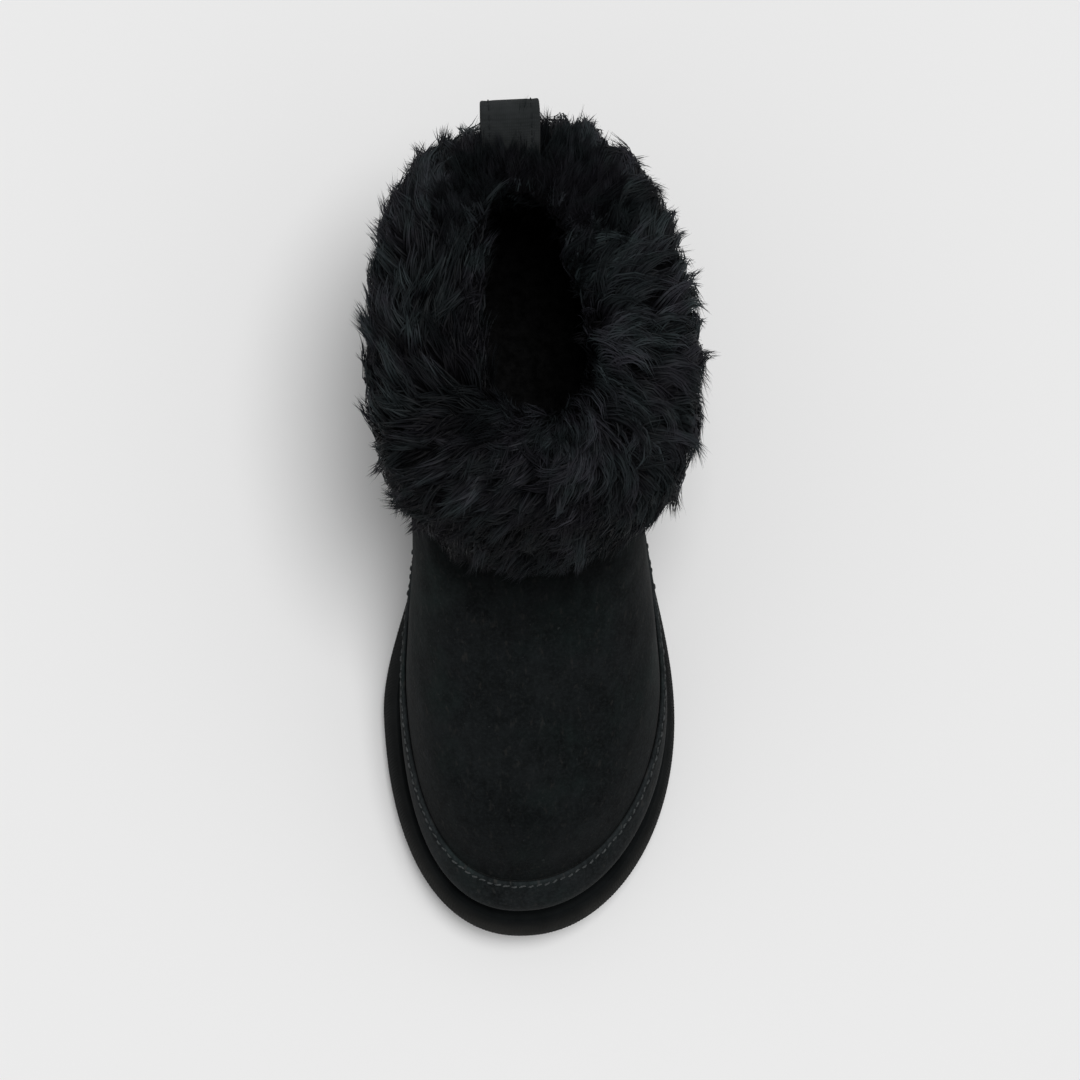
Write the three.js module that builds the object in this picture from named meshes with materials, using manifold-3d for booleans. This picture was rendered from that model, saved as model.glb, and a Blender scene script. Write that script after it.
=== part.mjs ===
// Sheepskin ankle boot, left foot, standing empty on its sole.
// Millimetres, +Z up. The toe points to -Y and the outer side of the foot to +X.
// Everything is drawn about the middle of the sole; the last lines move the whole
// boot so that its origin is the middle of the underside of its bounding box.
import * as THREE from 'three';
import { mergeVertices } from 'three/addons/utils/BufferGeometryUtils.js';
import Module from 'manifold-3d';

const wasm = await Module();
wasm.setup();

// ---------------------------------------------------------------- driving sizes
const GAP = 0.3;                 // between pieces that touch
const AROUND = 64;               // facets round every outline
const SOLE_FRONT = -132.5;       // tip of the sole
const SOLE_BACK = 134;           // back of the heel
const HEEL_THICK = 31;           // sole under the heel
const BALL_THICK = 24;           // sole under the ball
const THICK_FROM = -20;          // where the heel starts to rise
const THICK_TO = 92;             // where it has risen
const SPRING = 9;                // lift of the toe
const SPRING_FROM = -68;         // where the toe starts to lift
const ARCH_LIFT = 2.2;           // hollow under the waist
const ARCH_MIDDLE = 22;
const ARCH_HALF = 34;
const WALL = 7;                  // skin 1.5 and the pile pressed flat behind it
const GUARD_THICK = 1.6;         // suede band round the foot of the upper
const GUARD_TOP = 0.2;           // its top edge, a line of the upper's own height scale
const CUFF_FOOT = 0.75;          // lower edge of the fur cuff on the same scale
const INSOLE_THICK = 6;
const TREAD_DEPTH = 3;
const TAB_WIDTH = 18.4;
const TAB_X = -2.4;              // its middle, a little to the inner side
const TAB_THICK = 1.6;

// Outline of the sole at its widest level: half widths to the inner (M) and outer (L)
// side of the foot at three stations, then a superellipse to the toe and to the heel.
const SOLE_OUTLINE = {
  yFront: SOLE_FRONT, yBack: SOLE_BACK, toeX: -4, heelX: -2,
  foreM: 49.8, foreL: 51, midM: 33, midL: 41.6, rearM: 39.5, rearL: 35.5,
  toeCap: 0.29, heelCap: 0.165, toeRoundM: 2.2, toeRoundL: 2.1, heelRound: 2.2,
  foreAt: 0.29, midAt: 0.555, rearAt: 0.86,
};

// Sections of the upper from the sole (t = 0) to the collar (t = 1). Each section is a
// nearly level slice from a point on the front profile to a point on the back profile.
// yF zF yB zB: those two points.  toeX heelX: their side shift.
// fore mid rear, M and L: half widths at three stations.  toeCap heelCap: round ends.
const UPPER_COLUMNS = [
  't', 'yF', 'zF', 'yB', 'zB', 'toeX', 'heelX',
  'foreM', 'foreL', 'midM', 'midL', 'rearM', 'rearL', 'toeCap', 'heelCap',
];
const UPPER_ROWS = [
  [0.00, -120.5, 29.9, 126.0, 31.3, -5, -2.0, 41.9, 44.2, 27.5, 36.2, 33.5, 30.5, 0.28, 0.15],
  [0.10, -119.6, 38.4, 127.8, 40.0, -5, -2.0, 42.3, 44.4, 30.8, 37.4, 35.4, 32.4, 0.28, 0.16],
  [0.20, -110.9, 46.0, 128.4, 48.8, -5, -2.0, 42.2, 44.0, 34.2, 38.0, 36.2, 33.4, 0.29, 0.17],
  [0.35, -97.0, 58.5, 127.6, 62.0, -4, -2.0, 40.4, 42.0, 36.2, 38.0, 36.4, 34.0, 0.35, 0.20],
  [0.50, -71.0, 70.5, 125.4, 76.0, -2, -2.0, 37.8, 39.8, 36.8, 38.4, 36.0, 35.0, 0.40, 0.25],
  [0.62, -38.0, 83.5, 123.0, 88.0, 0, -1.8, 36.0, 38.8, 36.6, 39.2, 35.8, 36.2, 0.43, 0.31],
  [0.75, -3.0, 98.5, 121.6, 101.0, 1, -1.6, 35.6, 39.4, 36.6, 40.4, 35.6, 37.6, 0.46, 0.37],
  [0.87, 9.0, 116.0, 122.2, 119.0, 2, -1.5, 35.8, 41.0, 36.8, 41.8, 35.8, 39.0, 0.48, 0.42],
  [1.00, 16.5, 136.0, 124.0, 139.0, 2, -1.5, 36.2, 42.2, 37.2, 43.0, 36.2, 40.4, 0.50, 0.46],
];
const UPPER_ROUND = { toeRoundM: 2.25, toeRoundL: 2.1, heelRound: 2.15 };
const UPPER_STATIONS = { foreAt: 0.27, midAt: 0.56, rearAt: 0.88 };
const DIP_GONE = 0.35;           // above this t a section no longer follows the sole's top
const OUTER_STEPS = [
  0, 0.05, 0.1, 0.15, 0.2, 0.27, 0.35, 0.42, 0.5, 0.56, 0.62, 0.685, 0.75, 0.81, 0.87, 0.935, 1,
];
const INNER_STEPS = [1, 0.935, 0.87, 0.75, 0.62, 0.5, 0.35, 0.2, 0.1, 0];

// Section of the sole's edge: k runs from its widest outline (0) to the upper's foot (1);
// z is the height above the underside, or below the top where it is negative.
const SOLE_EDGE = [
  { k: 0.42, z: 0 },
  { k: 0.12, z: 2.4 },
  { k: 0.0, z: 7 },
  { k: 0.1, z: -11 },
  { k: 0.36, z: -4.5 },
  { k: 0.56, z: -1.2 },
  { k: 0.68, z: 0, onTop: true },
];

// Section of the fur cuff, all round the collar. Below the rim it is measured off the
// upper's surface (out), above the rim from the rim itself (out and up).
const CUFF_OUTSIDE = [
  { t: 0.75, out: 5 },
  { t: 0.81, out: 9.5 },
  { t: 0.87, out: 12 },
  { t: 0.935, out: 12.5 },
  { t: 1.0, out: 12 },
];
const CUFF_CROWN_OUT = [{ out: 9.5, up: 7 }, { out: 4, up: 11.5 }, { out: -4, up: 13.5 }];
const CUFF_CROWN_IN = [{ part: 0.55, up: 11.5 }, { part: 0.95, up: 4.5 }, { part: 1, up: -5 }];
const CUFF_DEPTH = { front: 18, side: 12, back: 4 };   // how far it stands into the collar
const CUFF_CORNERS = 3.5;        // fuller where the front turns into the sides
const CUFF_HEM_IN = 0.87;        // its lower edge inside, on the upper's height scale

const SUEDE = { color: 0x1b1e20, roughness: 0.95, metalness: 0 };
const FLEECE = { color: 0x141517, roughness: 1, metalness: 0 };
const FUR = { color: 0x17181b, roughness: 0.9, metalness: 0 };
const RUBBER = { color: 0x222326, roughness: 0.8, metalness: 0 };
const WEBBING = { color: 0x25282a, roughness: 0.9, metalness: 0 };

// ---------------------------------------------------------------- small mathematics
const clamp01 = (v) => Math.min(1, Math.max(0, v));
const mix = (a, b, f) => a + (b - a) * f;
const smooth = (v) => {
  const f = clamp01(v);
  return f * f * (3 - 2 * f);
};

// Smooth curve through (xs, ys) that keeps flat where the values turn.
function curveThrough(xs, ys, x, flatEnds = false) {
  const last = xs.length - 1;
  if (x <= xs[0]) return ys[0];
  if (x >= xs[last]) return ys[last];
  const secant = (i) => (ys[i + 1] - ys[i]) / (xs[i + 1] - xs[i]);
  const slope = (i) => {
    if (i === 0) return flatEnds ? 0 : secant(0);
    if (i === last) return flatEnds ? 0 : secant(last - 1);
    const [a, b] = [secant(i - 1), secant(i)];
    return a * b <= 0 ? 0 : (2 * a * b) / (a + b);
  };
  let i = 0;
  while (x > xs[i + 1]) i += 1;
  const h = xs[i + 1] - xs[i];
  const f = (x - xs[i]) / h;
  const [f2, f3] = [f * f, f * f * f];
  return (2 * f3 - 3 * f2 + 1) * ys[i] + (3 * f2 - 2 * f3) * ys[i + 1]
    + h * ((f3 - 2 * f2 + f) * slope(i) + (f3 - f2) * slope(i + 1));
}

// ---------------------------------------------------------------- outlines
// A point of an outline: angle 0 is the toe, a half turn the heel, and the outer side
// of the foot lies between them.
function outlinePoint(shape, angle) {
  const s = (1 - Math.cos(angle)) / 2;
  const outer = Math.sin(angle) >= 0;
  const key = outer ? 'L' : 'M';
  const stations = [shape.foreAt, shape.midAt, shape.rearAt];
  const widths = [shape[`fore${key}`], shape[`mid${key}`], shape[`rear${key}`]];
  const toeLeft = clamp01(1 - s / shape.toeCap);
  const heelLeft = clamp01(1 - (1 - s) / shape.heelCap);
  const round = (left, n) => Math.max(0, 1 - left ** n) ** (1 / n);
  const half = curveThrough(stations, widths, s, true)
    * round(toeLeft, shape[`toeRound${key}`]) * round(heelLeft, shape.heelRound);
  return {
    x: shape.toeX * toeLeft ** 2 + shape.heelX * heelLeft ** 2 + (outer ? half : -half),
    y: mix(shape.yFront, shape.yBack, s),
    s,
  };
}

const springAt = (y) => SPRING * clamp01((SPRING_FROM - y) / (SPRING_FROM - SOLE_FRONT)) ** 2;
const undersideAt = (y) => springAt(y)
  + ARCH_LIFT * smooth(1 - Math.abs(y - ARCH_MIDDLE) / ARCH_HALF);
const soleTopAt = (y) => springAt(y)
  + mix(BALL_THICK, HEEL_THICK, smooth((y - THICK_FROM) / (THICK_TO - THICK_FROM)));

const upperTs = UPPER_ROWS.map((row) => row[0]);
function upperSection(t) {
  const section = { ...UPPER_ROUND, ...UPPER_STATIONS };
  UPPER_COLUMNS.forEach((name, column) => {
    section[name] = curveThrough(upperTs, UPPER_ROWS.map((row) => row[column]), t);
  });
  section.yFront = section.yF;
  section.yBack = section.yB;
  return section;
}

const foot = upperSection(0);
function upperPoint(angle, t) {
  const section = upperSection(t);
  const { x, y, s } = outlinePoint(section, angle);
  const yFoot = mix(foot.yF, foot.yB, s);
  const dip = soleTopAt(yFoot) + GAP - mix(foot.zF, foot.zB, s);
  const z = mix(section.zF, section.zB, s) + dip * (1 - smooth(t / DIP_GONE));
  return new THREE.Vector3(x, y, z);
}

function upperNormal(angle, t) {
  const step = 0.004;
  const along = upperPoint(angle + step, t).sub(upperPoint(angle - step, t));
  const above = upperPoint(angle, Math.min(1, t + step));
  const up = above.sub(upperPoint(angle, Math.max(0, t - step)));
  return along.cross(up).normalize();
}

const offUpper = (angle, t, out) =>
  upperPoint(angle, t).addScaledVector(upperNormal(angle, t), out);

// The same, held level, for what lies on the sole or round the rim.
function offLevel(angle, t, out, up = 0) {
  const normal = upperNormal(angle, t).setZ(0).normalize();
  const point = upperPoint(angle, t).addScaledVector(normal, out);
  point.z += up;
  return point;
}

// ---------------------------------------------------------------- closed meshes
const angleOf = (i) => (2 * Math.PI * i) / AROUND;

function geometryOf(points, triangles) {
  const geometry = new THREE.BufferGeometry();
  const flat = points.flatMap((p) => [p.x, p.y, p.z]);
  geometry.setAttribute('position', new THREE.Float32BufferAttribute(flat, 3));
  geometry.setIndex(triangles);
  return geometry;
}

// Rings stacked into a tube: rings[j][i], each with AROUND points. The quads turn so
// that their faces point out when the rings go up the outside.
function sides(rings, closed) {
  const triangles = [];
  const count = closed ? rings.length : rings.length - 1;
  for (let j = 0; j < count; j += 1) {
    const up = (j + 1) % rings.length;
    for (let i = 0; i < AROUND; i += 1) {
      const next = (i + 1) % AROUND;
      const [a, b] = [j * AROUND + i, j * AROUND + next];
      const [c, d] = [up * AROUND + next, up * AROUND + i];
      triangles.push(a, b, c, a, c, d);
    }
  }
  return triangles;
}

const ringTube = (rings) => geometryOf(rings.flat(), sides(rings, true));

// A stack of rings closed underneath and on top by strips across the foot.
function cappedStack(rings) {
  const triangles = sides(rings, false);
  const top = (rings.length - 1) * AROUND;
  for (let i = 0; i < AROUND / 2; i += 1) {
    const [a, b] = [i, i + 1];
    const [c, d] = [AROUND - i - 1, (AROUND - i) % AROUND];
    if (b !== c) triangles.push(a, c, b, top + a, top + b, top + c);
    if (a !== d) triangles.push(a, d, c, top + a, top + c, top + d);
  }
  return geometryOf(rings.flat(), triangles);
}

const ring = (pointAt) => Array.from({ length: AROUND }, (_, i) => pointAt(angleOf(i)));

function toSolid(geometry) {
  const bare = geometry.clone();
  bare.deleteAttribute('normal');
  bare.deleteAttribute('uv');
  const merged = mergeVertices(bare, 1e-4);
  return new wasm.Manifold(new wasm.Mesh({
    numProp: 3,
    vertProperties: new Float32Array(merged.attributes.position.array),
    triVerts: new Uint32Array(merged.index.array),
  }));
}

function toGeometry(solid) {
  const mesh = solid.getMesh();
  const geometry = new THREE.BufferGeometry();
  geometry.setAttribute('position', new THREE.Float32BufferAttribute(mesh.vertProperties, 3));
  geometry.setIndex(Array.from(mesh.triVerts));
  return geometry;
}

// ---------------------------------------------------------------- upper and overlays
function makeUpper() {
  const outside = OUTER_STEPS.map((t) => ring((angle) => upperPoint(angle, t)));
  const inside = INNER_STEPS.map((t) => ring((angle) => {
    if (t === 1) return offLevel(angle, 1, -WALL);
    if (t === 0) {
      const point = offLevel(angle, 0, -WALL);
      point.z = soleTopAt(point.y) + GAP;
      return point;
    }
    return offUpper(angle, t, -WALL);
  }));
  return ringTube([...outside, ...inside]);
}

function makeMudguard() {
  const steps = OUTER_STEPS.filter((t) => t <= GUARD_TOP);
  const face = (out) => steps.map((t) => ring((angle) => {
    if (t > 0) return offUpper(angle, t, out);
    const point = offLevel(angle, 0, out);
    point.z = soleTopAt(point.y) + GAP;
    return point;
  }));
  return ringTube([...face(GAP + GUARD_THICK), ...face(GAP).reverse()]);
}

function cuffDepth(angle) {
  const towardsBack = (1 - Math.cos(angle)) / 2;
  const ends = mix(CUFF_DEPTH.front, CUFF_DEPTH.back, towardsBack);
  return mix(ends, CUFF_DEPTH.side, Math.sin(angle) ** 2);
}

// ---------------------------------------------------------------- pull tab
// Webbing folded into a flat loop, sewn in over the rim at the back and leaning back.
// Its side view, from the foot up: y is measured from the rim's back edge, z from the rim.
const TAB_LINE = [
  { y: -3.6, z: 0.4 }, { y: -2.4, z: 8 }, { y: 2.6, z: 16 }, { y: 9.8, z: 23.5 }, { y: 15, z: 28 },
];
const TAB_HALF_LOOP = [1.7, 1.8, 3.0, 4.2, 3.6];   // half the depth of the loop along that line
const TAB_TIP = 2.2;                               // the round fold past the last point

function tabOutline(grow, deeper = 0) {
  const rim = upperPoint(Math.PI, 1);
  const line = TAB_LINE.map((p) => new THREE.Vector2(rim.y + p.y, rim.z + p.z));
  line[0].y -= deeper;
  const direction = (i) => line[Math.min(i + 1, line.length - 1)].clone()
    .sub(line[Math.max(i - 1, 0)]).normalize();
  const edge = (side) => line.map((p, i) => {
    const d = direction(i);
    const half = Math.max(0.05, TAB_HALF_LOOP[i] + grow);
    return new THREE.Vector2(p.x - side * d.y * half, p.y + side * d.x * half);
  });
  const end = line[line.length - 1].clone()
    .addScaledVector(direction(line.length - 1), TAB_TIP + grow);
  return [...edge(-1), end, ...edge(1).reverse()];
}

// An outline in the (y, z) plane pushed out to both sides of the heel's middle.
function extrudeAcross(outline, width, hole) {
  const shape = new THREE.Shape(outline);
  if (hole) shape.holes.push(new THREE.Path(hole));
  const geometry = new THREE.ExtrudeGeometry(shape, { depth: width, bevelEnabled: false });
  const across = new THREE.Matrix4().makeBasis(
    new THREE.Vector3(0, 1, 0), new THREE.Vector3(0, 0, 1), new THREE.Vector3(1, 0, 0),
  );
  geometry.applyMatrix4(across);
  geometry.translate(TAB_X - width / 2, 0, 0);
  return geometry;
}

function makePullTab() {
  const hole = tabOutline(-TAB_THICK);
  return toGeometry(toSolid(extrudeAcross(tabOutline(0), TAB_WIDTH, hole.slice(1, -1))));
}

function cuffFullness(angle) {
  const corner = 2.6 * Math.sin(angle) ** 2 * Math.max(0, Math.cos(angle));
  return 1 + (CUFF_CORNERS / CUFF_OUTSIDE[2].out) * corner;
}

function makeFurCuff() {
  const shell = (t, out) => ring((angle) => offUpper(angle, t, out));
  const rim = (out, up) => ring((angle) => offLevel(angle, 1, out, up));
  const steps = OUTER_STEPS.filter((t) => t >= CUFF_FOOT);
  const geometry = ringTube([
    ...CUFF_OUTSIDE.map(({ t, out }) =>
      ring((angle) => offUpper(angle, t, out * cuffFullness(angle)))),
    ...CUFF_CROWN_OUT.map(({ out, up }) => rim(out, up)),
    ...CUFF_CROWN_IN.map(({ part, up }) => ring((angle) =>
      offLevel(angle, 1, -WALL - cuffDepth(angle) * part, up))),
    ring((angle) => offUpper(angle, CUFF_HEM_IN, -WALL - cuffDepth(angle) * 0.6)),
    shell(CUFF_HEM_IN, -WALL - GAP),
    shell(0.935, -WALL - GAP),
    rim(-WALL - GAP, GAP),
    rim(GAP, GAP),
    ...steps.reverse().map((t) => (t === 1 ? rim(GAP, 0) : shell(t, GAP))),
  ]);
  const slot = extrudeAcross(tabOutline(GAP + 0.1, 2), TAB_WIDTH + 2 * GAP + 0.2);
  return toGeometry(toSolid(geometry).subtract(toSolid(slot)));
}

// ---------------------------------------------------------------- sole and insole
// Between the sole's widest outline (k = 0) and the foot of the upper (k = 1).
function solePoint(angle, k) {
  const wide = outlinePoint(SOLE_OUTLINE, angle);
  const narrow = outlinePoint(foot, angle);
  return new THREE.Vector3(mix(wide.x, narrow.x, k), mix(wide.y, narrow.y, k), 0);
}

function soleBody() {
  const rings = SOLE_EDGE.map(({ k, z, onTop }) => ring((angle) => {
    const point = solePoint(angle, k);
    const fromTop = onTop || z < 0;
    point.z = (fromTop ? soleTopAt(point.y) : undersideAt(point.y)) + z;
    return point;
  }));
  return cappedStack(rings);
}

// Wavy grooves across the tread leave the lugs standing between them.
const GROOVE = { width: 3.4, wave: 2.6, waves: 4, reach: 64, steps: 20 };
const GROOVE_ROWS = [
  { from: -118, pitch: 12.2, count: 8 },   // forefoot
  { from: 62, pitch: 12.6, count: 6 },     // heel
];

function grooveAt(yMiddle) {
  const edge = (side) => Array.from({ length: GROOVE.steps + 1 }, (_, i) => {
    const f = (2 * i) / GROOVE.steps - 1;
    const y = yMiddle + GROOVE.wave * Math.cos(GROOVE.waves * Math.PI * f);
    return new THREE.Vector2(f * GROOVE.reach, y + (side * GROOVE.width) / 2);
  });
  const shape = new THREE.Shape([...edge(-1), ...edge(1).reverse()]);
  const top = springAt(yMiddle) + TREAD_DEPTH;
  const geometry = new THREE.ExtrudeGeometry(shape, { depth: top + 5, bevelEnabled: false });
  geometry.translate(0, 0, -5);
  return toSolid(geometry);
}

function makeSole() {
  let solid = toSolid(soleBody());
  for (const { from, pitch, count } of GROOVE_ROWS) {
    for (let i = 0; i < count; i += 1) solid = solid.subtract(grooveAt(from + pitch * i));
  }
  return toGeometry(solid);
}

function makeInsole() {
  const layer = (inset, up) => ring((angle) => {
    const point = offLevel(angle, 0, -WALL - inset);
    point.z = soleTopAt(point.y) + up;
    return point;
  });
  return cappedStack([
    layer(0.8, GAP), layer(0.6, INSOLE_THICK - 1.5), layer(2.2, INSOLE_THICK),
  ]);
}

// ---------------------------------------------------------------- the boot
const boot = new THREE.Group();

function add(name, geometry, finish) {
  const mesh = new THREE.Mesh(geometry, new THREE.MeshStandardMaterial(finish));
  mesh.name = name;
  boot.add(mesh);
}

add('sole', makeSole(), RUBBER);
add('insole', makeInsole(), FLEECE);
add('upper', makeUpper(), SUEDE);
add('mudguard', makeMudguard(), SUEDE);
add('fur_cuff', makeFurCuff(), FUR);
add('pull_tab', makePullTab(), WEBBING);

const box = new THREE.Box3().setFromObject(boot);
boot.position.set(-(box.min.x + box.max.x) / 2, -(box.min.y + box.max.y) / 2, -box.min.z);

export default boot;
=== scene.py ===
"""Sheepskin ankle boot, left foot: the looks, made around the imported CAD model.

The shape functions and tables are the part's own, in millimetres, measured from the middle
of the sole. A mesh is scaled to metres and moved into the row frame when it is made.
Angles go round an outline: 0 is the toe, a half turn the heel, and the outer side of the
foot lies between them.
"""

import math

import bpy
import numpy as np
from mathutils import Matrix, Vector


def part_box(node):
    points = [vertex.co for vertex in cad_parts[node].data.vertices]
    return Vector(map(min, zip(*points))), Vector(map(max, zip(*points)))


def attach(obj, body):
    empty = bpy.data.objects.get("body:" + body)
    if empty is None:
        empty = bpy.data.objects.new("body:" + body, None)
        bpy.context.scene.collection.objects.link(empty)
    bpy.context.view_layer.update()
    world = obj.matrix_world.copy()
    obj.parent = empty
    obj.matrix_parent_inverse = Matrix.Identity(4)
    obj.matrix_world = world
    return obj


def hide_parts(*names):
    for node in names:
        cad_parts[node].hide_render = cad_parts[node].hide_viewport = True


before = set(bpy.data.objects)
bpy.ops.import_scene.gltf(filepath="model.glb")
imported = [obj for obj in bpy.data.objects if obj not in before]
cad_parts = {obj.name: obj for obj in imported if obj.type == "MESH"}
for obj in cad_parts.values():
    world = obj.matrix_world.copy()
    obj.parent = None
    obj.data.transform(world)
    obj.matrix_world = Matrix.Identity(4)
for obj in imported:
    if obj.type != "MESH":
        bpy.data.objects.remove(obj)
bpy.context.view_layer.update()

MM = 0.001
TURN = 2 * math.pi
rng = np.random.default_rng(20)

# ---- sizes from the part
GAP = 0.3
SOLE_FRONT = -132.5
SOLE_BACK = 134.0
HEEL_THICK = 31.0
BALL_THICK = 24.0
THICK_FROM = -20.0
THICK_TO = 92.0
SPRING = 9.0
SPRING_FROM = -68.0
ARCH_LIFT = 2.2
ARCH_MIDDLE = 22.0
ARCH_HALF = 34.0
WALL = 7.0
GUARD_THICK = 1.6
GUARD_TOP = 0.2
INSOLE_THICK = 6.0
TREAD_DEPTH = 3.0
TAB_WIDTH = 18.4
TAB_X = -2.4
TAB_THICK = 1.6

SOLE_OUTLINE = dict(
    yF=SOLE_FRONT, yB=SOLE_BACK, toeX=-4, heelX=-2,
    foreM=49.8, foreL=51, midM=33, midL=41.6, rearM=39.5, rearL=35.5,
    toeCap=0.29, heelCap=0.165, toeRoundM=2.2, toeRoundL=2.1, heelRound=2.2,
    foreAt=0.29, midAt=0.555, rearAt=0.86,
)
UPPER_COLUMNS = (
    "t yF zF yB zB toeX heelX foreM foreL midM midL rearM rearL toeCap heelCap".split()
)
UPPER_ROWS = [
    [0.00, -120.5, 29.9, 126.0, 31.3, -5, -2.0, 41.9, 44.2, 27.5, 36.2, 33.5, 30.5, 0.28, 0.15],
    [0.10, -119.6, 38.4, 127.8, 40.0, -5, -2.0, 42.3, 44.4, 30.8, 37.4, 35.4, 32.4, 0.28, 0.16],
    [0.20, -110.9, 46.0, 128.4, 48.8, -5, -2.0, 42.2, 44.0, 34.2, 38.0, 36.2, 33.4, 0.29, 0.17],
    [0.35, -97.0, 58.5, 127.6, 62.0, -4, -2.0, 40.4, 42.0, 36.2, 38.0, 36.4, 34.0, 0.35, 0.20],
    [0.50, -71.0, 70.5, 125.4, 76.0, -2, -2.0, 37.8, 39.8, 36.8, 38.4, 36.0, 35.0, 0.40, 0.25],
    [0.62, -38.0, 83.5, 123.0, 88.0, 0, -1.8, 36.0, 38.8, 36.6, 39.2, 35.8, 36.2, 0.43, 0.31],
    [0.75, -3.0, 98.5, 121.6, 101.0, 1, -1.6, 35.6, 39.4, 36.6, 40.4, 35.6, 37.6, 0.46, 0.37],
    [0.87, 9.0, 116.0, 122.2, 119.0, 2, -1.5, 35.8, 41.0, 36.8, 41.8, 35.8, 39.0, 0.48, 0.42],
    [1.00, 16.5, 136.0, 124.0, 139.0, 2, -1.5, 36.2, 42.2, 37.2, 43.0, 36.2, 40.4, 0.50, 0.46],
]
UPPER_FIXED = dict(
    toeRoundM=2.25, toeRoundL=2.1, heelRound=2.15, foreAt=0.27, midAt=0.56, rearAt=0.88,
)
DIP_GONE = 0.35
CUFF_OUTSIDE = [(0.75, 5.0), (0.81, 9.5), (0.87, 12.0), (0.935, 12.5), (1.0, 12.0)]
CUFF_CROWN_OUT = [(9.5, 7.0), (4.0, 11.5), (-4.0, 13.5)]
CUFF_CROWN_IN = [(0.55, 11.5), (0.95, 4.5), (1.0, -5.0)]
CUFF_CORNERS = 3.5
CUFF_HEM_IN = 0.87
TAB_LINE = [(-3.6, 0.4), (-2.4, 8.0), (2.6, 16.0), (9.8, 23.5), (15.0, 28.0)]
TAB_HALF_LOOP = [1.7, 1.8, 3.0, 4.2, 3.6]
TAB_TIP = 2.2
GROOVE_WIDTH = 3.4
GROOVE_WAVE = 2.6
GROOVE_WAVES = 4
GROOVE_REACH = 64.0
GROOVES = [-118 + 12.2 * i for i in range(8)] + [62 + 12.6 * i for i in range(6)]

# ---- small mathematics
def mix(a, b, f):
    return a + (b - a) * f


def smooth(v):
    f = np.clip(v, 0, 1)
    return f * f * (3 - 2 * f)


def unit(v):
    return v / np.maximum(np.linalg.norm(v, axis=-1, keepdims=True), 1e-9)


def curve_through(xs, ys, x, flat_ends=False):
    """Smooth curve through (xs, ys) that keeps flat where the values turn."""
    xs, ys = np.asarray(xs, float), np.asarray(ys, float)
    secants = np.diff(ys) / np.diff(xs)
    before, after = secants[:-1], secants[1:]
    total = np.where(before * after > 0, before + after, 1.0)
    slopes = np.zeros_like(ys)
    slopes[1:-1] = np.where(before * after > 0, 2 * before * after / total, 0.0)
    if not flat_ends:
        slopes[0], slopes[-1] = secants[0], secants[-1]
    x = np.clip(x, xs[0], xs[-1])
    i = np.clip(np.searchsorted(xs, x, side="right") - 1, 0, len(xs) - 2)
    h = xs[i + 1] - xs[i]
    f = (x - xs[i]) / h
    f2, f3 = f * f, f * f * f
    ends = (2 * f3 - 3 * f2 + 1) * ys[i] + (3 * f2 - 2 * f3) * ys[i + 1]
    return ends + h * ((f3 - 2 * f2 + f) * slopes[i] + (f3 - f2) * slopes[i + 1])


def wave_noise(points, size, seed, octaves=3):
    """Soft noise from -1 to 1 in the sizes of points: a few turned sine waves summed."""
    draw = np.random.default_rng(seed)
    total = np.zeros(points.shape[:-1])
    reach = 0.0
    for octave in range(octaves):
        for _ in range(4):
            way = unit(draw.normal(size=3)) * TURN / (size / 1.9**octave)
            total += np.sin(points @ way + draw.uniform(0, TURN)) * 0.6**octave
        reach += 0.6**octave
    return total / (2.0 * reach)


# ---- outlines and sections
def outline(shape, angles):
    """x, y and the share of the length, for every angle of one outline."""
    s = (1 - np.cos(angles)) / 2
    outer = np.sin(angles) >= 0
    toe_left = np.clip(1 - s / shape["toeCap"], 0, 1)
    heel_left = np.clip(1 - (1 - s) / shape["heelCap"], 0, 1)
    stations = [shape["foreAt"], shape["midAt"], shape["rearAt"]]
    halves = []
    for key in "LM":
        widths = [shape["fore" + key], shape["mid" + key], shape["rear" + key]]
        n, m = shape["toeRound" + key], shape["heelRound"]
        toe = np.maximum(0, 1 - toe_left**n) ** (1 / n)
        heel = np.maximum(0, 1 - heel_left**m) ** (1 / m)
        halves.append(curve_through(stations, widths, s, True) * toe * heel)
    middle = shape["toeX"] * toe_left**2 + shape["heelX"] * heel_left**2
    x = middle + np.where(outer, halves[0], -halves[1])
    return x, mix(shape["yF"], shape["yB"], s), s


def spring_at(y):
    return SPRING * np.clip((SPRING_FROM - y) / (SPRING_FROM - SOLE_FRONT), 0, 1) ** 2


def underside_at(y):
    return spring_at(y) + ARCH_LIFT * smooth(1 - np.abs(y - ARCH_MIDDLE) / ARCH_HALF)


def sole_top_at(y):
    rise = smooth((y - THICK_FROM) / (THICK_TO - THICK_FROM))
    return spring_at(y) + mix(BALL_THICK, HEEL_THICK, rise)


def upper_section(t):
    rows = np.array(UPPER_ROWS)
    made = dict(UPPER_FIXED)
    for column, name in enumerate(UPPER_COLUMNS):
        made[name] = float(curve_through(rows[:, 0], rows[:, column], t))
    return made


FOOT = upper_section(0)


def upper_ring(angles, t):
    """Points of the upper's outside at one height t, for every angle."""
    section = upper_section(t)
    x, y, s = outline(section, angles)
    foot_y = mix(FOOT["yF"], FOOT["yB"], s)
    dip = sole_top_at(foot_y) + GAP - mix(FOOT["zF"], FOOT["zB"], s)
    z = mix(section["zF"], section["zB"], s) + dip * (1 - smooth(t / DIP_GONE))
    return np.stack([x, y, z], -1)


def upper_normals(angles, t):
    step = 0.004
    along = upper_ring(angles + step, t) - upper_ring(angles - step, t)
    up = upper_ring(angles, min(1, t + step)) - upper_ring(angles, max(0, t - step))
    return unit(np.cross(along, up))


def off_upper(angles, t, out):
    """The upper's ring at height t, moved out along its normals."""
    return upper_ring(angles, t) + upper_normals(angles, t) * np.reshape(out, (-1, 1))


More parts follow.
